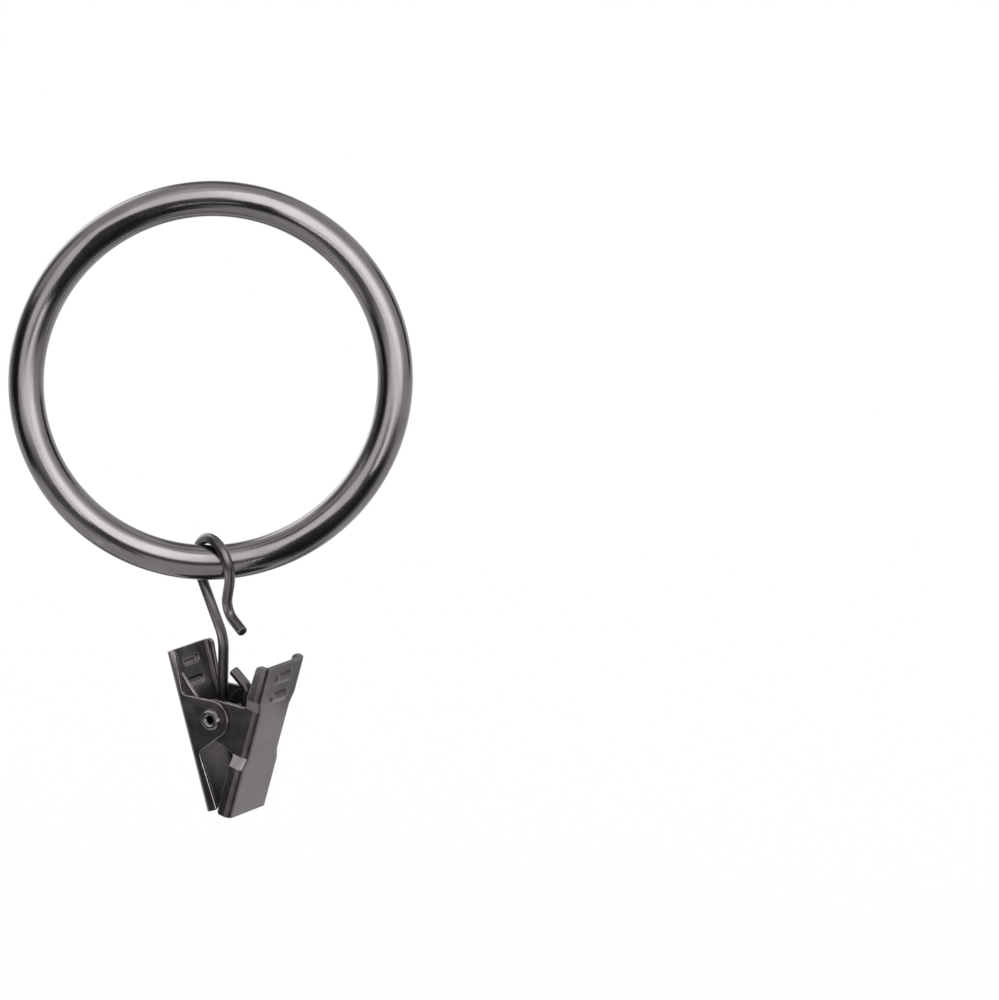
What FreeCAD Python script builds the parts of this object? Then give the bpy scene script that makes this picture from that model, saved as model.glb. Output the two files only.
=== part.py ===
import FreeCAD, Part
import math
import os

V = FreeCAD.Vector
DEG = math.pi / 180

# Curtain ring: a solid round steel rod bent to a circle, open to the curtain rod along Y
RING_BORE_D = 50.0
RING_ROD_D = 5.3

# Hook: one bent spring wire with a loop round the ring and a loose eye round the rivet
HOOK_WIRE_D = 1.6
LOOP_CLEARANCE = 1.1
LOOP_SEAT_GAP = 0.25
LOOP_AZIMUTH = 27.0
HOOK_LEAN = 7.5
FREE_END_OUT = 6.1
FREE_END_DROP = 9.3
FREE_BEND_OUT = 1.75
FREE_BEND_DROP = 6.3
FREE_BEND_R = 2.6
LEG_BEND_DROP = 11.0
LEG_BEND_R = 6.0
EYE_DROP = 22.2
EYE_CLEARANCE = 0.3
EYE_SEAT_GAP = 0.1
EYE_SIDE_SHIFT = 1.0
STUB_BEND_OUT = 3.1
STUB_BEND_RISE = 3.5
STUB_BEND_R = 1.5
STUB_RISE = 6.3
STUB_TIP_GAP = 0.15
WIRE_END_R = 0.3

# Clip: two pressed steel jaws on one rivet, its axis turned from the ring's by this azimuth
CLIP_AZIMUTH = 37.0
SHEET = 0.6
BEND_INNER_R = 0.5
JAW_WIDTH = 10.8
HANDLE_RISE = 11.3
TIP_DROP = 13.6
OUTER_BACK = 5.3
INNER_BACK = 7.2
TIP_DEPTH = 2.15
GRIP_OFFSET = 0.85
GRIP_GAP = 0.1
EAR_R = 2.9
EAR_SIDE_GAP = 0.1
EAR_ROOT_R = 0.9
HANDLE_CORNER_R = 0.8
TIP_CORNER_R = 0.4
JOGGLE_RUN = 1.8

# Flange depths from the back plate: at the handle's top, above the ear and below the ear
OUTER_FLANGES = (1.85, 1.25, 1.6)
INNER_FLANGES = (2.0, 2.3, 2.3)
OUTER_EAR_TAPER = 20.0
INNER_EAR_TAPER = 10.0

# Pressed oval grip ribs on each handle
RIB_CURVE_R = 1.5
RIB_RAISE = 0.4
RIB_SPAN = 3.0
RIB_HEIGHTS = (5.9, 9.1)

# Rivet: domed head at the far side, hollow end rolled over at the near side
RIVET_D = 1.9
RIVET_RUN_GAP = 0.05
RIVET_END_GAP = 0.03
HEAD_D = 4.4
HEAD_H = 1.15
ROLL_D = 3.4
ROLL_H = 0.6
ROLL_HOLE_D = 1.1
ROLL_HOLE_DEPTH = 2.2

# Torsion spring on the rivet, its two arms pushing the handles apart
SPRING_WIRE_D = 0.6
SPRING_COIL_GAP = 0.25
SPRING_PITCH = 0.66
SPRING_TURNS = 3
SPRING_EAR_GAP = 0.6
OUTER_ARM_LEAN = 36.0
INNER_ARM_LEAN = 50.0
ARM_SEAT_GAP = 0.08

# Sizes that follow from the driving ones
ROD_R = RING_ROD_D / 2
RING_R = RING_BORE_D / 2 + ROD_R
WIRE_R = HOOK_WIRE_D / 2
LOOP_R = ROD_R + LOOP_CLEARANCE + WIRE_R
LOOP_CENTRE_Z = ROD_R + LOOP_SEAT_GAP - (LOOP_R - WIRE_R)
RIVET_R = RIVET_D / 2
EYE_R = RIVET_R + EYE_CLEARANCE + WIRE_R
RIVET_DROP = EYE_DROP + EYE_CLEARANCE - EYE_SEAT_GAP
HALF_WIDTH = JAW_WIDTH / 2
NESTED_HALF_WIDTH = HALF_WIDTH - SHEET - EAR_SIDE_GAP
COIL_R = RIVET_R + SPRING_COIL_GAP + SPRING_WIRE_D / 2
ROD_CENTRE = V(0, 0, -RING_R)


def swing(shape, degrees):
    """Turns a shape about the rivet's axis, its top towards +X of the clip."""
    shape.rotate(V(0, 0, 0), V(0, 1, 0), degrees)
    return shape


def tangent_arc(before, corner, after, radius):
    """Ends and middle of the arc that rounds a corner between two straight runs."""
    back = (before - corner).normalize()
    ahead = (after - corner).normalize()
    half = back.getAngle(ahead) / 2
    run = radius / math.tan(half)
    inward = (back + ahead).normalize()
    middle = corner + inward * (radius / math.sin(half) - radius)
    return corner + back * run, middle, corner + ahead * run


def tangent_point(reach, radius, side):
    """Where a line from the point (0, reach) touches a circle round (0, 0), on the -1 or +1 side."""
    angle = math.asin(radius / reach)
    return side * radius * math.cos(angle), radius * math.sin(angle)


def line(start, end):
    return Part.LineSegment(start, end).toShape()


def arc(start, middle, end):
    return Part.Arc(start, middle, end).toShape()


def round_wire(edges, start, ahead, radius):
    """Sweeps a round section along edges that run on smoothly from start."""
    section = Part.Face(Part.Wire(Part.makeCircle(radius, start, ahead)))
    return Part.Wire(edges).makePipe(section)


def soften_ends(solid, ends, radius):
    """Rounds the rims of a wire's cut ends, found by the points at their centres."""
    rims = []
    for edge in solid.Edges:
        if not isinstance(edge.Curve, Part.Circle):
            continue
        if any(edge.Curve.Center.distanceToPoint(end) < radius / 10 for end in ends):
            rims.append(edge)
    return solid.makeFillet(radius, rims).Solids[0]


def make_ring():
    return Part.makeTorus(RING_R, ROD_R, V(0, 0, 0), V(0, 1, 0))


def on_plane(azimuth):
    """A function that places (out, up) in the upright plane of that azimuth, through the hook's axis."""
    out_x = math.sin(azimuth * DEG)
    out_y = -math.cos(azimuth * DEG)
    return lambda out, up: V(out * out_x, out * out_y, up)


def make_hook():
    """The wire from its free end up over the ring, down the long leg and round the rivet."""
    loop = on_plane(LOOP_AZIMUTH)
    eye = on_plane(90 - CLIP_AZIMUTH)
    free_end = loop(FREE_END_OUT, -FREE_END_DROP)
    free_bend = loop(FREE_BEND_OUT, -FREE_BEND_DROP)
    leg_bend = loop(0, -LEG_BEND_DROP)

    # The front run leaves the loop along the tangent through the free bend
    reach = math.hypot(FREE_BEND_OUT, FREE_BEND_DROP)
    turn = math.atan2(FREE_BEND_OUT, FREE_BEND_DROP)
    side, drop = tangent_point(reach, LOOP_R, 1)
    front_out = side * math.cos(turn) + drop * math.sin(turn)
    front_up = side * math.sin(turn) - drop * math.cos(turn)
    front = loop(front_out, front_up)

    back_out, back_drop = tangent_point(LEG_BEND_DROP, LOOP_R, -1)
    back = loop(back_out, -back_drop)

    eye_reach = EYE_DROP - LEG_BEND_DROP
    leg_out, leg_rise = tangent_point(eye_reach, EYE_R, -1)
    leg_foot = eye(leg_out, leg_rise - EYE_DROP)

    # The stub rises outwards from the eye, then is bent back until its tip all but touches the leg
    bend_reach = math.hypot(STUB_BEND_OUT, STUB_BEND_RISE)
    bend_turn = math.atan2(STUB_BEND_OUT, STUB_BEND_RISE)
    side, rise = tangent_point(bend_reach, EYE_R, 1)
    stub_out = side * math.cos(bend_turn) + rise * math.sin(bend_turn)
    stub_rise = rise * math.cos(bend_turn) - side * math.sin(bend_turn)
    stub_foot = eye(stub_out, stub_rise - EYE_DROP)
    stub_bend = eye(STUB_BEND_OUT, STUB_BEND_RISE - EYE_DROP)
    leg_slope = EYE_R / math.sqrt(eye_reach ** 2 - EYE_R ** 2)
    leg_at_tip = -(eye_reach - STUB_RISE) * leg_slope
    tip_out = leg_at_tip + (HOOK_WIRE_D + STUB_TIP_GAP) * math.hypot(1, leg_slope)
    stub_tip = eye(tip_out, STUB_RISE - EYE_DROP)

    free_arc = tangent_arc(free_end, free_bend, front, FREE_BEND_R)
    leg_arc = tangent_arc(back, leg_bend, leg_foot, LEG_BEND_R)
    stub_arc = tangent_arc(stub_foot, stub_bend, stub_tip, STUB_BEND_R)
    path = [
        line(free_end, free_arc[0]),
        arc(*free_arc),
        line(free_arc[2], front),
        arc(front, loop(0, LOOP_R), back),
        line(back, leg_arc[0]),
        arc(*leg_arc),
        line(leg_arc[2], leg_foot),
        arc(leg_foot, eye(0, -EYE_R - EYE_DROP), stub_foot),
        line(stub_foot, stub_arc[0]),
        arc(*stub_arc),
        line(stub_arc[2], stub_tip),
    ]
    hook = round_wire(path, free_end, free_bend - free_end, WIRE_R)
    hook = soften_ends(hook, (free_end, stub_tip), WIRE_END_R)
    return place_on_ring(hook)


def place_on_ring(shape):
    """Hangs a shape, drawn round the loop's centre, from the lowest point of the ring."""
    shape.translate(V(0, 0, LOOP_CENTRE_Z))
    shape.rotate(V(0, 0, 0), V(0, 1, 0), -HOOK_LEAN)
    shape.translate(ROD_CENTRE)
    return shape


def place_on_rivet(shape):
    """Moves a shape, drawn round the rivet's middle, to the hook's eye; the clip hangs plumb."""
    shape.translate(V(0, -EYE_SIDE_SHIFT, 0))
    shape.rotate(V(0, 0, 0), V(0, 0, 1), -CLIP_AZIMUTH)
    drop = RIVET_DROP - LOOP_CENTRE_Z
    shape.translate(V(drop * math.sin(HOOK_LEAN * DEG), 0, -drop * math.cos(HOOK_LEAN * DEG)))
    shape.translate(ROD_CENTRE)
    return shape


def ear_edge(x, taper):
    """Height of the ear's slanted edge over a point of the jaw, tangent to the ear's round nose."""
    return (EAR_R - x * math.sin(taper * DEG)) / math.cos(taper * DEG)


def rounded_face(corners):
    """A flat face in XZ from corners (x, z, radius), each rounded where its radius isn't 0."""
    points = [V(x, 0, z) for x, z, radius in corners]
    stops = []
    for i, (x, z, radius) in enumerate(corners):
        following = points[(i + 1) % len(points)]
        if radius:
            stops.append(tangent_arc(points[i - 1], points[i], following, radius))
        else:
            stops.append((points[i],))
    edges = []
    for i, stop in enumerate(stops):
        if len(stop) == 3:
            edges.append(arc(*stop))
        edges.append(line(stop[-1], stops[(i + 1) % len(stops)][0]))
    return Part.Face(Part.Wire(edges))


def channel_section(back, half_width, z):
    """The jaw's U section at height z: back plate at -X, bent edges, flanges towards +X."""
    outer_r = BEND_INNER_R + SHEET
    mouth = EAR_R + SHEET
    lean = math.sqrt(0.5)

    def side(sign):
        wide = sign * half_width
        outer = [
            V(mouth, wide, z),
            V(outer_r - back, wide, z),
            V(outer_r * (1 - lean) - back, wide - sign * outer_r * (1 - lean), z),
            V(-back, wide - sign * outer_r, z),
        ]
        inner = [
            V(mouth, wide - sign * SHEET, z),
            V(outer_r - back, wide - sign * SHEET, z),
            V(outer_r - BEND_INNER_R * lean - back, wide - sign * (outer_r - BEND_INNER_R * lean), z),
            V(SHEET - back, wide - sign * outer_r, z),
        ]
        return outer, inner

    near_outer, near_inner = side(-1)
    far_outer, far_inner = side(1)
    edges = [
        line(near_outer[0], near_outer[1]),
        arc(*near_outer[1:]),
        line(near_outer[3], far_outer[3]),
        arc(*reversed(far_outer[1:])),
        line(far_outer[1], far_outer[0]),
        line(far_outer[0], far_inner[0]),
        line(far_inner[0], far_inner[1]),
        arc(*far_inner[1:]),
        line(far_inner[3], near_inner[3]),
        arc(*reversed(near_inner[1:])),
        line(near_inner[1], near_inner[0]),
        line(near_inner[0], near_outer[0]),
    ]
    return Part.Wire(edges)


def grip_rib(back, height, radius):
    """A round-ended bar across the handle, whose skin is pressed out as a rib."""
    centre_x = RIB_CURVE_R - RIB_RAISE - back
    half = RIB_SPAN / 2
    bar = Part.makeCylinder(radius, RIB_SPAN, V(centre_x, -half, height), V(0, 1, 0))
    for y in (-half, half):
        bar = bar.fuse(Part.makeSphere(radius, V(centre_x, y, height)))
    return bar


def make_jaw(back, widths, flanges, taper):
    """One pressed jaw, upright round the rivet's axis, with its back plate at x = -back.

    widths lists (height, half width) from the tip to the handle's top.
    """
    channel = Part.makeLoft([channel_section(back, half, z) for z, half in widths], True, True)
    top_x, above_x, below_x = [depth - back for depth in flanges]
    outline = [
        (-back - RIB_RAISE, -TIP_DROP, 0),
        (TIP_DEPTH - back, -TIP_DROP, TIP_CORNER_R),
        (below_x, -ear_edge(below_x, taper), EAR_ROOT_R),
        (EAR_R / math.sin(taper * DEG), 0, EAR_R),
        (above_x, ear_edge(above_x, taper), EAR_ROOT_R),
        (top_x, HANDLE_RISE, HANDLE_CORNER_R),
        (-back - RIB_RAISE, HANDLE_RISE, 0),
    ]
    profile = rounded_face(outline).extrude(V(0, JAW_WIDTH, 0))
    profile.translate(V(0, -HALF_WIDTH, 0))
    jaw = channel.common(profile)
    skin = Part.makeBox(RIB_RAISE + SHEET / 2, JAW_WIDTH, HANDLE_RISE, V(-back - RIB_RAISE, -HALF_WIDTH, 0))
    for height in RIB_HEIGHTS:
        jaw = jaw.fuse(grip_rib(back, height, RIB_CURVE_R).common(skin))
        jaw = jaw.cut(grip_rib(back, height, RIB_CURVE_R - SHEET))
    hole_r = RIVET_R + RIVET_RUN_GAP
    hole = Part.makeCylinder(hole_r, 2 * JAW_WIDTH, V(0, -JAW_WIDTH, 0), V(0, 1, 0))
    return jaw.cut(hole).removeSplitter().Solids[0]


def outer_lean():
    """Lean of the outer jaw that brings its tip flanges to the grip line."""
    reach = math.hypot(OUTER_BACK - TIP_DEPTH, TIP_DROP)
    own = math.atan2(OUTER_BACK - TIP_DEPTH, TIP_DROP)
    return (own + math.asin((GRIP_OFFSET - GRIP_GAP / 2) / reach)) / DEG


def inner_lean():
    """Lean of the inner jaw that brings its tip flanges to the grip line."""
    reach = math.hypot(INNER_BACK - TIP_DEPTH, TIP_DROP)
    own = math.atan2(INNER_BACK - TIP_DEPTH, TIP_DROP)
    return (own - math.asin((GRIP_OFFSET + GRIP_GAP / 2) / reach)) / DEG


def make_outer_jaw():
    widths = [(-TIP_DROP, HALF_WIDTH), (HANDLE_RISE, HALF_WIDTH)]
    jaw = make_jaw(OUTER_BACK, widths, OUTER_FLANGES, OUTER_EAR_TAPER)
    return place_on_rivet(swing(jaw, -outer_lean()))


def make_inner_jaw():
    """The inner jaw's ears are set in by a sheet's thickness, between two joggles."""
    flat = ear_edge(max(INNER_FLANGES) - INNER_BACK, INNER_EAR_TAPER)
    widths = [
        (-TIP_DROP, HALF_WIDTH),
        (-flat - JOGGLE_RUN, HALF_WIDTH),
        (-flat, NESTED_HALF_WIDTH),
        (flat, NESTED_HALF_WIDTH),
        (flat + JOGGLE_RUN, HALF_WIDTH),
        (HANDLE_RISE, HALF_WIDTH),
    ]
    jaw = make_jaw(INNER_BACK, widths, INNER_FLANGES, INNER_EAR_TAPER)
    jaw.rotate(V(0, 0, 0), V(0, 0, 1), 180)
    return place_on_rivet(swing(jaw, inner_lean()))


def make_rivet():
    """Turned profile in XY, revolved about the rivet's axis."""
    near = -HALF_WIDTH - RIVET_END_GAP
    far = HALF_WIDTH + RIVET_END_GAP
    hole_r = ROLL_HOLE_D / 2
    roll_r = ROLL_D / 2
    crown_r = (hole_r + roll_r) / 2
    hole_floor = near + ROLL_HOLE_DEPTH
    head_r = HEAD_D / 2
    dome_r = (head_r ** 2 + HEAD_H ** 2) / (2 * HEAD_H)
    half_angle = math.asin(head_r / dome_r) / 2
    dome_y = far + HEAD_H - dome_r
    half_roll = (roll_r - hole_r) / 2
    edges = [
        line(V(0, hole_floor, 0), V(hole_r, hole_floor, 0)),
        line(V(hole_r, hole_floor, 0), V(hole_r, near + half_roll - ROLL_H, 0)),
        arc(
            V(hole_r, near + half_roll - ROLL_H, 0),
            V(crown_r, near - ROLL_H, 0),
            V(roll_r, near + half_roll - ROLL_H, 0),
        ),
        line(V(roll_r, near + half_roll - ROLL_H, 0), V(roll_r, near, 0)),
        line(V(roll_r, near, 0), V(RIVET_R, near, 0)),
        line(V(RIVET_R, near, 0), V(RIVET_R, far, 0)),
        line(V(RIVET_R, far, 0), V(head_r, far, 0)),
        arc(
            V(head_r, far, 0),
            V(dome_r * math.sin(half_angle), dome_y + dome_r * math.cos(half_angle), 0),
            V(0, far + HEAD_H, 0),
        ),
        line(V(0, far + HEAD_H, 0), V(0, hole_floor, 0)),
    ]
    rivet = Part.Face(Part.Wire(edges)).revolve(V(0, 0, 0), V(0, 1, 0), 360)
    return place_on_rivet(rivet)


def arm_length(back, lean, arm_lean):
    """Length of a spring arm from the coil until its end meets the handle's back plate."""
    plate = back - SHEET - SPRING_WIRE_D / 2 - ARM_SEAT_GAP
    between = (arm_lean - lean) * DEG
    return (plate - COIL_R * math.cos(between)) / math.sin(between)


def make_spring():
    """Coil round the rivet beside the hook's eye; the arms run on along the coil's own slope."""
    coil_turns = SPRING_TURNS + (180 - OUTER_ARM_LEAN - INNER_ARM_LEAN) / 360
    rise = SPRING_PITCH / (2 * math.pi)
    helix = Part.makeHelix(SPRING_PITCH, coil_turns * SPRING_PITCH, COIL_R)
    radius = SPRING_WIRE_D / 2
    section = Part.Wire(Part.makeCircle(radius, V(COIL_R, 0, 0), V(0, COIL_R, rise)))
    coil = Part.Wire(helix.Edges).makePipeShell([section], True, True)
    end_angle = coil_turns * 2 * math.pi
    end = V(COIL_R * math.cos(end_angle), COIL_R * math.sin(end_angle), coil_turns * SPRING_PITCH)
    ahead = V(-COIL_R * math.sin(end_angle), COIL_R * math.cos(end_angle), rise)
    outer_run = arm_length(OUTER_BACK, outer_lean(), OUTER_ARM_LEAN)
    inner_run = arm_length(INNER_BACK, inner_lean(), INNER_ARM_LEAN)
    first = Part.makeCylinder(radius, outer_run, V(COIL_R, 0, 0), V(0, -COIL_R, -rise))
    last = Part.makeCylinder(radius, inner_run, end, ahead)
    spring = coil.fuse([first, last])
    # Drawn right-handed up Z; mirrored, then laid along +Y with its first arm towards the outer jaw
    spring = spring.mirror(V(0, 0, 0), V(0, 0, 1))
    spring.rotate(V(0, 0, 0), V(0, 0, 1), 180 + OUTER_ARM_LEAN)
    spring.rotate(V(0, 0, 0), V(1, 0, 0), 90)
    spring.translate(V(0, SHEET + SPRING_EAR_GAP + radius - NESTED_HALF_WIDTH, 0))
    return place_on_rivet(spring.Solids[0])


NODES = {
    "ring": make_ring,
    "hook": make_hook,
    "outer_jaw": make_outer_jaw,
    "inner_jaw": make_inner_jaw,
    "rivet": make_rivet,
    "spring": make_spring,
}

os.makedirs("parts", exist_ok=True)
for name, make in NODES.items():
    solid = make()
    print(name, solid.ShapeType, solid.isValid(), len(solid.Solids), round(solid.Volume, 3))
    solid.exportStep("parts/" + name + ".step")
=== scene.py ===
import bmesh
import bpy
import numpy as np
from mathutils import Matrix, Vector


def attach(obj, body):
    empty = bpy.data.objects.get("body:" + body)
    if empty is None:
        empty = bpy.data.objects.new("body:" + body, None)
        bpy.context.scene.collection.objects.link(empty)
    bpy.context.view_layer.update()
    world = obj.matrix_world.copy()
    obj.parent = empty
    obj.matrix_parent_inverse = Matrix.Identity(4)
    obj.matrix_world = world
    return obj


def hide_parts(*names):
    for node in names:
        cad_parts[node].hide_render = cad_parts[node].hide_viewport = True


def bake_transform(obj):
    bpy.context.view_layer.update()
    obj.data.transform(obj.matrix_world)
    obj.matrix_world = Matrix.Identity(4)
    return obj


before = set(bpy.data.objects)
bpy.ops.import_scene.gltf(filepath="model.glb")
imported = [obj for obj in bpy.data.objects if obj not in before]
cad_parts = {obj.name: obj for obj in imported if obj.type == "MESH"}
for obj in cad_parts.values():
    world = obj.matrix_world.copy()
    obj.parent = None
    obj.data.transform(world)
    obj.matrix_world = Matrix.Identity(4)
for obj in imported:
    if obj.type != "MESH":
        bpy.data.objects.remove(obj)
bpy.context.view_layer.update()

# Room: a pale seamless floor of matt painted board, well under the clip because the ring hangs
# from its curtain rod, and a plain white surround that lights the object softly from all sides.
MM = 0.001
WHITE = "#FFFFFF"
FLOOR_Z = -118 * MM
FLOOR_HALF = 3.0
FLOOR_CORNERS = ((-1, -1), (1, -1), (1, 1), (-1, 1))


def linear(code):
    """The linear colour of an sRGB hex code: a dark channel is divided by 12.92, and any other is
    (channel + 0.055) / 1.055 to the power 2.4."""
    srgb = np.array([int(code[i:i + 2], 16) for i in (1, 3, 5)]) / 255
    low = srgb / 12.92
    high = ((srgb + 0.055) / 1.055) ** 2.4
    return (*np.where(srgb <= 0.04045, low, high).tolist(), 1.0)


def add(tree, kind, settings=None, **links):
    """Adds a node. settings are its properties. links are its sockets, each given a value or
    another node's output: a socket goes by its name, or by i and its number."""
    node = tree.nodes.new(kind)
    for name, value in (settings or {}).items():
        setattr(node, name, value)
    for name, value in links.items():
        key = int(name[1:]) if name[1:].isdigit() else name.replace("_", " ")
        socket = node.inputs[key]
        if isinstance(value, bpy.types.NodeSocket):
            tree.links.new(value, socket)
        else:
            socket.default_value = value
    return node


floor_mesh = bpy.data.meshes.new("floor")
floor_mesh.from_pydata(
    [(x * FLOOR_HALF, y * FLOOR_HALF, FLOOR_Z) for x, y in FLOOR_CORNERS], [], [(0, 1, 2, 3)])
floor = bpy.data.objects.new("floor", floor_mesh)
bpy.context.scene.collection.objects.link(floor)

# Matt paint has no gloss, so the floor goes over into the surround with no horizon
paint = bpy.data.materials.new("white_studio_paint")
paint.use_nodes = True
tree = paint.node_tree
tree.nodes.clear()
matt = add(tree, "ShaderNodeBsdfDiffuse", Color=linear(WHITE))
add(tree, "ShaderNodeOutputMaterial", Surface=matt.outputs[0])
floor_mesh.materials.append(paint)
floor.visible_glossy = False

world = bpy.data.worlds.new("white_surround")
bpy.context.scene.world = world
world.use_nodes = True
tree = world.node_tree
tree.nodes.clear()
sky = add(tree, "ShaderNodeBackground", Color=linear(WHITE), Strength=1.0)
add(tree, "ShaderNodeOutputWorld", Surface=sky.outputs[0])

# Camera: it stands where the photograph was taken from, a little above and to the left, far off
# with a long lens. It looks past the object, so that the ring's centre falls on RING_PIXEL.
CAMERA_AZIMUTH = -4.0
CAMERA_ELEVATION = 10.5
CAMERA_DISTANCE = 1.0
CAMERA_LENS = 240.5
SENSOR = 36.0
IMAGE_SIZE = (999, 1000)
RING_PIXEL = (212.25, 379.0)

azimuth, elevation = np.radians([CAMERA_AZIMUTH, CAMERA_ELEVATION])
right = np.array([np.cos(azimuth), np.sin(azimuth), 0.0])
view = np.array([-np.sin(azimuth) * np.cos(elevation),
                 np.cos(azimuth) * np.cos(elevation),
                 -np.sin(elevation)])
up = np.cross(right, view)
pixel = SENSOR / CAMERA_LENS * CAMERA_DISTANCE / max(IMAGE_SIZE)
off_x = (IMAGE_SIZE[0] / 2 - RING_PIXEL[0]) * pixel
off_y = (RING_PIXEL[1] - IMAGE_SIZE[1] / 2) * pixel
aim = view * CAMERA_DISTANCE + right * off_x + up * off_y
camera_data = bpy.data.cameras.new("camera")
camera_data.lens = CAMERA_LENS
camera_data.sensor_width = SENSOR
camera = bpy.data.objects.new("camera", camera_data)
bpy.context.scene.collection.objects.link(camera)
camera.location = (-view * CAMERA_DISTANCE).tolist()
camera.rotation_euler = Vector(aim.tolist()).to_track_quat("-Z", "Y").to_euler()
bpy.context.scene.camera = camera
bpy.context.scene.view_settings.view_transform = "Standard"

# Boards: curved soft boxes and dark boards far round the object, as polished metal shows only
# what stands round it. The key box is at the camera's right, with dimmer boxes above, at the
# left and behind. Dark ones stand at the camera, at the left, low in front and behind.
OBJECT_CENTRE = np.array([2.0, 0.0, -18.0]) * MM
PANEL_DISTANCE = 2.0
PANEL_POINTS = 13


def glow(name, strength):
    """The cloth of a soft box or the face of a dark board: plain light, with no gloss or grain."""
    material = bpy.data.materials.new(name)
    material.use_nodes = True
    tree = material.node_tree
    tree.nodes.clear()
    shine = add(tree, "ShaderNodeEmission", Color=linear(WHITE), Strength=strength)
    add(tree, "ShaderNodeOutputMaterial", Surface=shine.outputs[0])
    return material


def grid_quads(index):
    """The faces over a grid of point numbers: each four neighbours make one."""
    corners = [index[:-1, :-1], index[:-1, 1:], index[1:, 1:], index[1:, :-1]]
    return np.stack(corners, -1).reshape(-1, 4).tolist()


def board(name, points, strength):
    """A board over a grid of points (u, v, xyz) in metres, which only mirrored rays see."""
    index = np.arange(points[..., 0].size).reshape(points.shape[:2])
    mesh = bpy.data.meshes.new(name)
    mesh.from_pydata(points.reshape(-1, 3).tolist(), [], grid_quads(index))
    mesh.materials.append(glow(name, strength))
    thing = bpy.data.objects.new(name, mesh)
    bpy.context.scene.collection.objects.link(thing)
    thing.visible_camera = False
    thing.visible_shadow = False
    thing.visible_diffuse = False
    thing.visible_transmission = False


def panel(name, azimuths, elevations, strength):
    """A board on a sphere round the object that spans these degrees. Azimuth 0 is the -Y side and
    grows towards +X, and elevation is above the level: (sin a cos e, -cos a cos e, sin e)."""
    a, e = np.meshgrid(np.radians(np.linspace(*azimuths, PANEL_POINTS)),
                       np.radians(np.linspace(*elevations, PANEL_POINTS)))
    ahead = np.stack([np.sin(a) * np.cos(e), -np.cos(a) * np.cos(e), np.sin(e)], -1)
    board(name, OBJECT_CENTRE + PANEL_DISTANCE * ahead, strength)


for name, azimuths, elevations, strength in (
    ("key_box", (9, 44), (-12, 60), 4.0),
    ("key_box_edge", (44, 60), (-8, 55), 1.9),
    ("top_box", (-30, 9), (21, 58), 2.5),
    ("top_box_edge", (-48, 60), (60, 80), 1.6),
    ("left_box", (-48, -21), (-9, 24), 1.9),
    ("left_box_top", (-50, -30), (24, 46), 2.2),
    ("left_box_foot", (-34, -18), (-14, -9), 3.2),
    ("front_box_foot", (-18, 9), (-14, -8), 4.6),
    ("front_box", (-21, 9), (3, 21), 2.2),
    ("camera_board", (-20, 7), (-7, 2), 0.1),
    ("left_board", (-98, -55), (-36, 20), 0.03),
    ("left_back_board", (-122, -98), (-14, 44), 0.2),
    ("low_left_board", (-56, -20), (-42, -23), 0.2),
    ("low_middle_board", (-20, 4), (-34, -16), 0.15),
    ("low_board", (4, 48), (-54, -17), 0.03),
    ("low_right_board", (30, 68), (-66, -54), 0.15),
    ("low_side_board", (48, 68), (-54, -22), 0.3),
    ("right_back_board", (94, 116), (-8, 24), 0.06),
    ("back_box", (194, 222), (-4, 50), 2.6),
    ("back_board", (148, 188), (24, 58), 0.3),
    ("back_side_board", (238, 256), (-20, 44), 0.3),
    ("back_low_board", (146, 222), (-60, -38), 0.3),
):
    panel(name, azimuths, elevations, strength)

# Cards: small, flat and close, as are set for shiny metal. Black ones in front darken the ring's
# upper left and lower right, and a white one lights the hook. Beside the clip a bright one
# shines on the joggle's slope and a grey one dims the handle.
CARD_Y = -20.0


def card(name, across, upward, strength):
    """An upright card in front of the object that spans these millimetres along X and Z."""
    x, z = np.meshgrid(across, upward)
    board(name, np.stack([x, np.full_like(x, CARD_Y), z], -1) * MM, strength)


def near_card(name, seen_from, azimuth, elevation, away, wide, tall, strength):
    """A flat card square to the line from one place of the object, in millimetres, at that
    azimuth and elevation: place + away * ahead + u * sideways + v * upward."""
    a, e = np.radians([azimuth, elevation])
    ahead = np.array([np.sin(a) * np.cos(e), -np.cos(a) * np.cos(e), np.sin(e)])
    sideways = np.array([np.cos(a), np.sin(a), 0.0])
    upward = np.cross(sideways, -ahead)
    u, v = np.meshgrid((-wide / 2, wide / 2), (-tall / 2, tall / 2))
    middle = np.array(seen_from) + away * ahead
    board(name, (middle + u[..., None] * sideways + v[..., None] * upward) * MM, strength)


for name, across, upward, strength in (
    ("upper_card", (-25, -4), (9, 33), 0.04),
    ("upper_card_foot", (-15, -3), (5, 9), 0.04),
    ("upper_card_tail", (-4, 5), (23, 33), 0.1),
    ("upper_card_end", (5, 13), (17, 30), 0.04),
    ("lower_card", (8, 38), (-48, -17), 0.03),
    ("loop_card", (-21, 7), (-31, -23.5), 0.15),
    ("hook_card", (-12, 8), (-50, -31), 1.0),
):
    card(name, across, upward, strength)

near_card("joggle_card", seen_from=(9.5, -4.0, -62.0), azimuth=-75, elevation=30,
          away=40, wide=22, tall=14, strength=2.7)
near_card("handle_card", seen_from=(9.0, -3.0, -42.0), azimuth=120, elevation=-27,
          away=22, wide=18, tall=14, strength=0.5)

# Ring: a round steel rod bent to a circle, butted and welded, ground, polished and plated in
# black nickel. It is open to the curtain rod along Y.
RING_CENTRE_R = 27.65
RING_ROD_R = 2.65
RING_STEPS = 640
ROD_STEPS = 56
# Shares of a noise between which the plate goes from its least to its most, and its tone there
CLOUD_SPAN = (0.3, 0.7)
TONE_SPAN = (0.9, 1.1)
SKIN_DEPTH = 0.02


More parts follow.
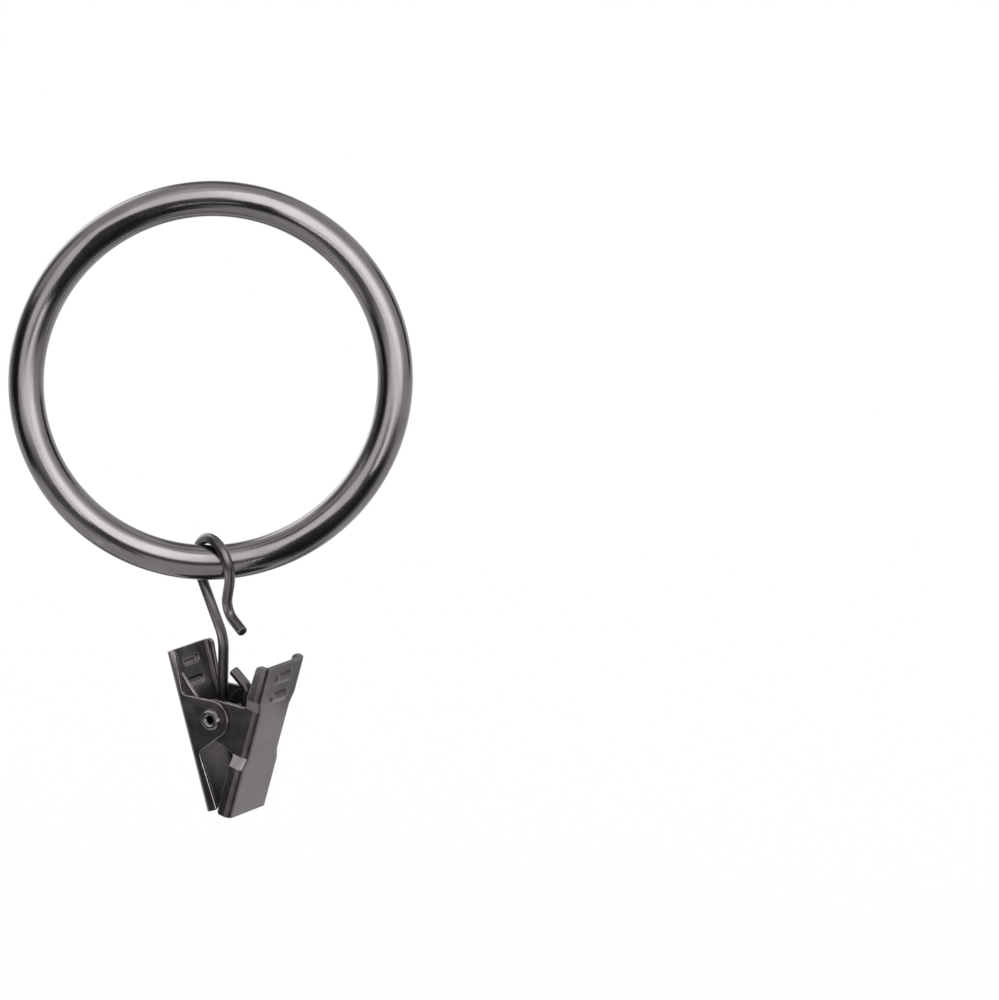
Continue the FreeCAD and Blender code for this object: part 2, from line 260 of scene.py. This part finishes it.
def grid_mesh(name, points, closed_u, closed_v, ends=False):
    """A smooth skin over a grid of points (u, v, xyz) in mm: each four neighbours make one face.
    A closed way joins its last row to its first. With ends, each open end in u is closed by a
    fan round the mean of its row."""
    index = np.arange(points[..., 0].size).reshape(points.shape[:2])
    if closed_u:
        index = np.vstack([index, index[:1]])
    if closed_v:
        index = np.hstack([index, index[:, :1]])
    vertices = points.reshape(-1, 3)
    faces = grid_quads(index)
    if ends:
        total = len(vertices)
        vertices = np.vstack([vertices, points[0].mean(0), points[-1].mean(0)])
        first, last = index[0], index[-1]
        faces += [[total, int(b), int(a)] for a, b in zip(first[:-1], first[1:])]
        faces += [[total + 1, int(a), int(b)] for a, b in zip(last[:-1], last[1:])]
    mesh = bpy.data.meshes.new(name)
    mesh.from_pydata((vertices * MM).tolist(), [], faces)
    mesh.polygons.foreach_set("use_smooth", np.ones(len(mesh.polygons), bool))
    mesh.update()
    shell = bmesh.new()
    shell.from_mesh(mesh)
    bmesh.ops.recalc_face_normals(shell, faces=shell.faces)
    shell.to_mesh(mesh)
    shell.free()
    thing = bpy.data.objects.new(name, mesh)
    bpy.context.scene.collection.objects.link(thing)
    return thing


def plated(name, code, roughness, spread, cloud_mm, speck_mm, bump):
    """Nickel plate or drawn steel: a metal of one colour. A broad cloudy noise, cloud_mm in size,
    takes its roughness from roughness - spread to roughness + spread and its tone from a little
    darker to a little lighter. A fine noise, speck_mm in size, is its bump."""
    material = bpy.data.materials.new(name)
    material.use_nodes = True
    tree = material.node_tree
    tree.nodes.clear()
    where = add(tree, "ShaderNodeTexCoord")
    cloud = add(tree, "ShaderNodeTexNoise", {"name": "cloud"}, Vector=where.outputs["Object"],
                Scale=1 / (cloud_mm * MM), Detail=2.0, Roughness=0.5)
    speck = add(tree, "ShaderNodeTexNoise", Vector=where.outputs["Object"],
                Scale=1 / (speck_mm * MM), Detail=0.0, Roughness=0.5)
    rough = add(tree, "ShaderNodeMapRange", Value=cloud.outputs["Fac"],
                From_Min=CLOUD_SPAN[0], From_Max=CLOUD_SPAN[1],
                To_Min=roughness - spread, To_Max=roughness + spread)
    tint = add(tree, "ShaderNodeValToRGB", {"name": "tint"}, Fac=cloud.outputs["Fac"])
    base = np.array(linear(code))[:3]
    for stop, position, tone in zip(tint.color_ramp.elements, CLOUD_SPAN, TONE_SPAN):
        stop.position = position
        stop.color = (*(base * tone), 1)
    skin = add(tree, "ShaderNodeBump", {"name": "skin"}, Height=speck.outputs["Fac"],
               Strength=bump, Distance=SKIN_DEPTH * MM)
    metal = add(tree, "ShaderNodeBsdfPrincipled", {"name": "metal"}, Metallic=1.0,
                Base_Color=tint.outputs["Color"], Roughness=rough.outputs["Result"],
                Normal=skin.outputs["Normal"])
    add(tree, "ShaderNodeOutputMaterial", Surface=metal.outputs[0])
    return material


def dress(thing, material):
    """Gives a piece this material alone."""
    thing.data.materials.clear()
    thing.data.materials.append(material)


# A torus: a circle of the rod's radius carried round a circle of the ring's radius
around = np.linspace(0, 2 * np.pi, RING_STEPS, endpoint=False)[:, None]
across = np.linspace(0, 2 * np.pi, ROD_STEPS, endpoint=False)[None, :]
reach = RING_CENTRE_R + RING_ROD_R * np.cos(across)
torus = np.stack([
    reach * np.cos(around),
    RING_ROD_R * np.sin(across) * np.ones_like(around),
    reach * np.sin(around),
], -1)
ring_piece = grid_mesh("ring_rod", torus, True, True)

# Polished plate gives clear bands of light and dark with soft borders. Its polishing marks are
# far finer than a pixel, so they are drawn 0.8 mm coarse and very shallow.
dress(ring_piece, plated("black_nickel_polished", "#757171", roughness=0.2, spread=0.02,
                         cloud_mm=6.0, speck_mm=0.8, bump=0.015))
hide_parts("ring")
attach(ring_piece, "ring")

# Hook: one drawn steel wire plated in black nickel, bent cold into a loop over the ring, a long
# leg and an open eye round the rivet. Its cut ends are lightly deburred.
HOOK_WIRE_R = 0.8
HOOK_END_R = 0.3
LOOP_R = 4.55
LOOP_AZIMUTH = 27.0
LOOP_CENTRE_Z = -0.85
EYE_AZIMUTH = 53.0
EYE_R = 2.05
EYE_DROP = 22.2
LEG_BEND = (0.0, -11.0)
LEG_BEND_R = 6.0
FREE_END = (6.1, -9.3)
FREE_BEND = (1.75, -6.3)
FREE_BEND_R = 2.6
STUB_BEND = (3.1, 3.5)
STUB_BEND_R = 1.5
STUB_RISE = 6.3
STUB_TIP_GAP = 0.15
HOOK_LEAN = 7.5
WIRE_STEPS = 32
PATH_STEP = 0.16
LOOP_STEPS = 110
EYE_STEPS = 60
LEAST_RUN_STEPS = 2
LEAST_BEND_STEPS = 6
# Rows over a rounded end, and how many end radii the path's own points keep from it
END_STEPS = 7
END_CLEAR = 1.2
# Two points of a path nearer than this are one
SAME_PLACE = 1e-6


def upright(azimuth, out, rise):
    """Points of the upright plane of that azimuth: out along it, rise up."""
    a = np.radians(azimuth)
    out, rise = np.broadcast_arrays(np.asarray(out, float), np.asarray(rise, float))
    return np.stack([out * np.sin(a), -out * np.cos(a), rise], -1)


def touching(point, radius, side):
    """Where the line from a point touches a circle round (0, 0), on its -1 or +1 side: its radius
    there stands at the arc cosine of radius / distance from the direction of the point."""
    x, y = point
    distance = np.hypot(x, y)
    angle = np.arctan2(y, x) + side * np.arccos(radius / distance)
    return radius * np.cos(angle), radius * np.sin(angle)


def run(start, end):
    """A straight run as points a step apart, without its last point: start + share of the way."""
    count = max(LEAST_RUN_STEPS, int(np.linalg.norm(end - start) / PATH_STEP))
    return start + (end - start) * np.arange(count)[:, None] / count


def bend(before, corner, after, radius):
    """The arc of that radius that touches both runs at a corner: its first point, its points and
    its last. With half the angle between the runs, it starts radius / tan(half) from the corner,
    and its centre is radius / sin(half) from it, midway between the runs."""
    back = (before - corner) / np.linalg.norm(before - corner)
    ahead = (after - corner) / np.linalg.norm(after - corner)
    half = np.arccos(np.clip(back @ ahead, -1, 1)) / 2
    tangent = radius / np.tan(half)
    middle = (back + ahead) / np.linalg.norm(back + ahead)
    centre = corner + middle * radius / np.sin(half)
    sweep = np.pi / 2 - half
    count = max(LEAST_BEND_STEPS, int(2 * sweep * radius / PATH_STEP))
    turn = np.linspace(-sweep, sweep, count, endpoint=False)[:, None]
    sideways = (ahead - back) / np.linalg.norm(ahead - back)
    points = centre + radius * (np.sin(turn) * sideways - np.cos(turn) * middle)
    return corner + back * tangent, points, corner + ahead * tangent


def swept(name, path, radius, end_r, reference, steps):
    """A round wire: at each point of the path a circle, point + wide * (cos turn * side + sin turn
    * top). side is square to the path and the reference, and top to the path and side. wide is
    the radius, and within end_r of each end it shrinks along a quarter circle of end_r."""
    gaps = np.linalg.norm(np.diff(path, axis=0), axis=1)
    path = path[np.concatenate([[True], gaps > SAME_PLACE])]
    gaps = np.linalg.norm(np.diff(path, axis=0), axis=1)
    length = np.concatenate([[0], np.cumsum(gaps)])
    quarter = end_r * (1 - np.cos(np.linspace(0, np.pi / 2, END_STEPS)))
    clear = end_r * END_CLEAR
    inside = length[(length > clear) & (length < length[-1] - clear)]
    place = np.concatenate([quarter, inside, length[-1] - quarter[::-1]])
    line = np.stack([np.interp(place, length, path[:, i]) for i in range(3)], -1)
    ahead = np.gradient(line, place, axis=0)
    ahead /= np.linalg.norm(ahead, axis=1, keepdims=True)
    side = np.cross(ahead, reference)
    side /= np.linalg.norm(side, axis=1, keepdims=True)
    top = np.cross(side, ahead)
    near_end = np.minimum(np.minimum(place, length[-1] - place), end_r)
    wide = radius - end_r + np.sqrt(np.maximum(end_r ** 2 - (end_r - near_end) ** 2, 0))
    turn = np.linspace(0, 2 * np.pi, steps, endpoint=False)[None, :, None]
    circle = np.cos(turn) * side[:, None] + np.sin(turn) * top[:, None]
    return grid_mesh(name, line[:, None] + wide[:, None, None] * circle, False, True, ends=True)


def hung(points):
    """Points drawn round the loop's centre, set on the ring's lowest point: they are turned about
    Y by the hook's lean there, and then lowered by the ring's radius."""
    a = np.radians(-HOOK_LEAN)
    x, y, z = points[..., 0], points[..., 1], points[..., 2] + LOOP_CENTRE_Z
    return np.stack([x * np.cos(a) + z * np.sin(a), y,
                     z * np.cos(a) - x * np.sin(a) - RING_CENTRE_R], -1)


# The stub beyond the eye comes back up beside the leg, a small gap from its side
eye_below_bend = EYE_DROP + LEG_BEND[1]
leg_slope = EYE_R / np.sqrt(eye_below_bend ** 2 - EYE_R ** 2)
leg_at_tip = -(eye_below_bend - STUB_RISE) * leg_slope
tip_out = leg_at_tip + (2 * HOOK_WIRE_R + STUB_TIP_GAP) * np.hypot(1, leg_slope)

# Each foot is where a straight run meets the loop or the eye, which it touches
front_foot = touching(FREE_BEND, LOOP_R, 1)
back_foot = touching(LEG_BEND, LOOP_R, -1)
leg_foot = touching((0.0, eye_below_bend), EYE_R, 1)
stub_foot = touching(STUB_BEND, EYE_R, -1)
free_end = upright(LOOP_AZIMUTH, *FREE_END)
free_corner = upright(LOOP_AZIMUTH, *FREE_BEND)
front = upright(LOOP_AZIMUTH, *front_foot)
back = upright(LOOP_AZIMUTH, *back_foot)
leg_corner = upright(LOOP_AZIMUTH, *LEG_BEND)
foot = upright(EYE_AZIMUTH, leg_foot[0], leg_foot[1] - EYE_DROP)
stub_start = upright(EYE_AZIMUTH, stub_foot[0], stub_foot[1] - EYE_DROP)
stub_corner = upright(EYE_AZIMUTH, STUB_BEND[0], STUB_BEND[1] - EYE_DROP)
stub_tip = upright(EYE_AZIMUTH, tip_out, STUB_RISE - EYE_DROP)

# The loop runs from its front foot over the top to its back foot, the eye from the leg under
# the rivet to the stub
loop_turn = np.linspace(np.arctan2(front_foot[1], front_foot[0]),
                        np.arctan2(back_foot[1], back_foot[0]) % (2 * np.pi),
                        LOOP_STEPS, endpoint=False)
loop_arc = upright(LOOP_AZIMUTH, LOOP_R * np.cos(loop_turn), LOOP_R * np.sin(loop_turn))
eye_turn = np.linspace(np.arctan2(leg_foot[1], leg_foot[0]),
                       np.arctan2(stub_foot[1], stub_foot[0]) + 2 * np.pi,
                       EYE_STEPS, endpoint=False)
eye_arc = upright(EYE_AZIMUTH, EYE_R * np.cos(eye_turn), EYE_R * np.sin(eye_turn) - EYE_DROP)
free_a, free_arc, free_b = bend(free_end, free_corner, front, FREE_BEND_R)
leg_a, leg_arc, leg_b = bend(back, leg_corner, foot, LEG_BEND_R)
stub_a, stub_arc, stub_b = bend(stub_start, stub_corner, stub_tip, STUB_BEND_R)
hook_path = np.vstack([
    run(free_end, free_a), free_arc, run(free_b, front), loop_arc,
    run(back, leg_a), leg_arc, run(leg_b, foot), eye_arc,
    run(stub_start, stub_a), stub_arc, run(stub_b, stub_tip), stub_tip[None],
])
# Both planes' tangents stay well off this level direction, so the circles never flip
middle_azimuth = np.radians((LOOP_AZIMUTH + EYE_AZIMUTH) / 2)
across_planes = np.array([np.cos(middle_azimuth), np.sin(middle_azimuth), 0.0])
hook_piece = swept("hook_wire", hung(hook_path), HOOK_WIRE_R, HOOK_END_R, across_planes,
                   WIRE_STEPS)

# Plate over drawn wire that wasn't polished first gives one broken bright line along it. The
# drawing marks are too fine to show and are drawn 0.35 mm coarse.
dress(hook_piece, plated("black_nickel_wire", "#605C5C", roughness=0.3, spread=0.04,
                         cloud_mm=2.5, speck_mm=0.35, bump=0.05))
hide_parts("hook")
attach(hook_piece, "hook")

# Jaws: two channels pressed and folded from steel sheet, with ears that nest on the rivet, on
# which they turn. They are tumbled and plated before they are put together.
EDGE_RADIUS = 0.2
EDGE_SAMPLES = 8
# The lighter colour of the highlight painted along the jaws' cut edges and folds
EDGE_HIGHLIGHT_COLOUR = "#C9C4C2"
# The dot product of the rounded and the flat normal where the painted edge highlight starts and
# where it is full
EDGE_HIGHLIGHT_SPAN = (0.99, 0.8)
# The shares of the plate's clouds where the painted edge highlight is least and most, and how
# strong it is there
HIGHLIGHT_PATCH_SPAN = (0.35, 0.65)
HIGHLIGHT_PATCH_SHARE = (0.25, 0.9)


def paint_edge_highlight(material, radius, highlight_colour):
    """Rounds the sharp edges of a plated material, by a radius in mm, and paints a lighter
    highlight along them. The share of the highlight colour grows as the rounded normal turns from
    the flat one, times a patchy share from the plate's own clouds."""
    tree = material.node_tree
    cloud, tint, skin, metal = (tree.nodes[name] for name in ("cloud", "tint", "skin", "metal"))
    rounded = add(tree, "ShaderNodeBevel", {"samples": EDGE_SAMPLES}, Radius=radius * MM)
    tree.links.new(rounded.outputs["Normal"], skin.inputs["Normal"])
    flat = add(tree, "ShaderNodeNewGeometry")
    turned = add(tree, "ShaderNodeVectorMath", {"operation": "DOT_PRODUCT"},
                 i0=rounded.outputs["Normal"], i1=flat.outputs["True Normal"])
    painted_highlight = add(tree, "ShaderNodeMapRange", Value=turned.outputs["Value"],
              From_Min=EDGE_HIGHLIGHT_SPAN[0], From_Max=EDGE_HIGHLIGHT_SPAN[1], To_Min=0.0, To_Max=1.0)
    highlight_patches = add(tree, "ShaderNodeMapRange", Value=cloud.outputs["Fac"],
                 From_Min=HIGHLIGHT_PATCH_SPAN[0], From_Max=HIGHLIGHT_PATCH_SPAN[1],
                 To_Min=HIGHLIGHT_PATCH_SHARE[0], To_Max=HIGHLIGHT_PATCH_SHARE[1])
    highlight_share = add(tree, "ShaderNodeMath", {"operation": "MULTIPLY"},
                i0=painted_highlight.outputs["Result"], i1=highlight_patches.outputs["Result"])
    plate_and_highlight = add(tree, "ShaderNodeMix", {"data_type": "RGBA"}, Factor=highlight_share.outputs[0],
                i6=tint.outputs["Color"], i7=linear(highlight_colour))
    tree.links.new(plate_and_highlight.outputs[2], metal.inputs["Base Color"])


# Plate over tumbled sheet has a soft even sheen, with a lighter highlight painted along its cut
# edges and folds. The tumbled texture is finer than a pixel and is drawn 0.7 mm coarse.
satin = plated("black_nickel_satin", "#6C6767", roughness=0.3, spread=0.03,
               cloud_mm=2.2, speck_mm=0.7, bump=0.04)
# Paints a lighter highlight, in patches, along the jaws' cut edges and folds
paint_edge_highlight(satin, EDGE_RADIUS, EDGE_HIGHLIGHT_COLOUR)
dress(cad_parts["outer_jaw"], satin)
dress(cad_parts["inner_jaw"], satin)

# Rivet: a semi-tubular steel rivet through the jaws' ears, with a domed factory head at the far
# side and its hollow end rolled over at the near side, plated with the clip's parts.
PIN_MIDDLE = np.array([2.43292, -0.79864, -50.70109])
CLIP_AZIMUTH = 37.0
RIVET_R = 0.95
RIVET_END = 5.43
HEAD_R = 2.2
HEAD_H = 1.15
ROLL_R = 1.7
ROLL_H = 0.6
ROLL_HOLE_R = 0.55
ROLL_HOLE_DEPTH = 2.2
# The profile stops this far short of its axis, and has these small breaks at its corners
AXIS_R = 0.02
HOLE_MIDWAY_R = 0.3
HOLE_CORNER = 0.06
LIP_FOOT = 0.4
EDGE_BREAK = 0.02
FACE_BREAK = 0.03
SHANK_BREAK = 0.05
CROWN_TURN = 0.02
LIP_STEPS = 17
DOME_STEPS = 16
RIVET_STEPS = 96


def on_pin(out, along, rise):
    """Points of the clip in mm, from the rivet's middle: out to the clip's right, along the rivet
    away from the camera's side, rise up. The clip's own directions are turned by its azimuth."""
    a = np.radians(CLIP_AZIMUTH)
    out, along, rise = np.broadcast_arrays(out, along, rise)
    return PIN_MIDDLE + np.stack([
        out * np.cos(a) + along * np.sin(a), along * np.cos(a) - out * np.sin(a), rise], -1)


# The profile (radius, along) from the floor of the hole over the rolled lip, along the shank
# and over the dome, spun round the rivet's axis
lip_turn = np.linspace(0, np.pi, LIP_STEPS)
lip_half = (ROLL_R - ROLL_HOLE_R) / 2
lip_middle = (ROLL_R + ROLL_HOLE_R) / 2
dome_r = (HEAD_R ** 2 + HEAD_H ** 2) / (2 * HEAD_H)
dome_turn = np.linspace(np.arcsin(HEAD_R / dome_r), CROWN_TURN, DOME_STEPS)
dome_centre = RIVET_END + HEAD_H - dome_r
hole_floor = -RIVET_END + ROLL_HOLE_DEPTH
crown = -RIVET_END + lip_half - ROLL_H
profile = np.vstack([
    [(AXIS_R, hole_floor), (HOLE_MIDWAY_R, hole_floor), (ROLL_HOLE_R - HOLE_CORNER, hole_floor)],
    [(ROLL_HOLE_R, hole_floor - HOLE_CORNER), (ROLL_HOLE_R, crown + LIP_FOOT)],
    np.stack([lip_middle - lip_half * np.cos(lip_turn), crown - lip_half * np.sin(lip_turn)], -1),
    [(ROLL_R, -RIVET_END - EDGE_BREAK), (ROLL_R - FACE_BREAK, -RIVET_END),
     (RIVET_R + FACE_BREAK, -RIVET_END), (RIVET_R, -RIVET_END + SHANK_BREAK),
     (RIVET_R, RIVET_END - SHANK_BREAK), (RIVET_R + FACE_BREAK, RIVET_END),
     (HEAD_R - SHANK_BREAK, RIVET_END), (HEAD_R, RIVET_END + EDGE_BREAK)],
    np.stack([dome_r * np.sin(dome_turn), dome_centre + dome_r * np.cos(dome_turn)], -1)[1:],
])
spin = np.linspace(0, 2 * np.pi, RIVET_STEPS, endpoint=False)[None, :]
lathe = on_pin(profile[:, :1] * np.cos(spin), profile[:, 1:], profile[:, :1] * np.sin(spin))
rivet_piece = grid_mesh("rivet_lathe", lathe, False, True, ends=True)

# Plate over cold-headed steel is smoother than on the sheet, so its rolled lip catches a small
# clear light. The heading marks are drawn 0.35 mm coarse, as coarse as they need to show.
dress(rivet_piece, plated("black_nickel_rivet", "#6E6A6A", roughness=0.24, spread=0.04,
                          cloud_mm=1.5, speck_mm=0.35, bump=0.08))
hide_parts("rivet")
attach(rivet_piece, "clip")

# Spring: hard-drawn steel wire coiled on the rivet beside the hook's eye. One arm presses on each
# handle, so as the jaws open the coil winds up between them.
SPRING_WIRE_R = 0.3
SPRING_END_R = 0.08
SPRING_WIRE_STEPS = 20
COIL_R = 1.5
COIL_START = -3.2
COIL_PITCH = 0.66
COIL_STEPS = 260
OUTER_ARM_LEAN = 36.0
INNER_ARM_LEAN = 50.0
OUTER_ARM = 8.63
INNER_ARM = 9.07
WHOLE_TURNS = 3
COIL_TURNS = WHOLE_TURNS + (180 - OUTER_ARM_LEAN - INNER_ARM_LEAN) / 360

# A helix along the rivet; each arm leaves it along the coil's own slope
coil_turn = np.linspace(0, COIL_TURNS * 2 * np.pi, COIL_STEPS)
first_angle = np.radians(180 + OUTER_ARM_LEAN)
slope = COIL_PITCH / (2 * np.pi)


def coil(turn):
    """Points of the helix in the clip's own directions: out is the radius times the cosine of the
    angle, rise its sine, and along grows by the pitch with each whole turn."""
    angle = first_angle + turn
    return np.stack([COIL_R * np.cos(angle), COIL_START + slope * turn, COIL_R * np.sin(angle)], -1)


def coil_ahead(turn):
    """The direction of the wire there, of length one: the helix's rate of change over its size."""
    angle = first_angle + turn
    ahead = np.array([-COIL_R * np.sin(angle), slope, COIL_R * np.cos(angle)])
    return ahead / np.linalg.norm(ahead)


outer_tip = coil(0.0) - coil_ahead(0.0) * OUTER_ARM
inner_foot = coil(coil_turn[-1])
inner_tip = inner_foot + coil_ahead(coil_turn[-1]) * INNER_ARM
spring_path = np.vstack([
    run(outer_tip, coil(0.0)), coil(coil_turn[:-1]), run(inner_foot, inner_tip), inner_tip[None],
])
spring_path = on_pin(spring_path[:, 0], spring_path[:, 1], spring_path[:, 2])
along_pin = on_pin(0.0, 1.0, 0.0) - PIN_MIDDLE
spring_piece = swept("spring_coil", spring_path, SPRING_WIRE_R, SPRING_END_R, along_pin,
                     SPRING_WIRE_STEPS)

# Bare hard-drawn wire is lighter and greyer than the plate round it. Its drawing marks are too
# fine to show and are drawn 0.35 mm coarse.
dress(spring_piece, plated("spring_steel", "#8B8786", roughness=0.24, spread=0.05,
                           cloud_mm=1.0, speck_mm=0.35, bump=0.1))
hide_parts("spring")
coil_end = COIL_START + COIL_TURNS * COIL_PITCH
tuple((on_pin(0.0, COIL_START, 0.0) * MM).tolist())
tuple((on_pin(0.0, coil_end, 0.0) * MM).tolist())
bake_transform(spring_piece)
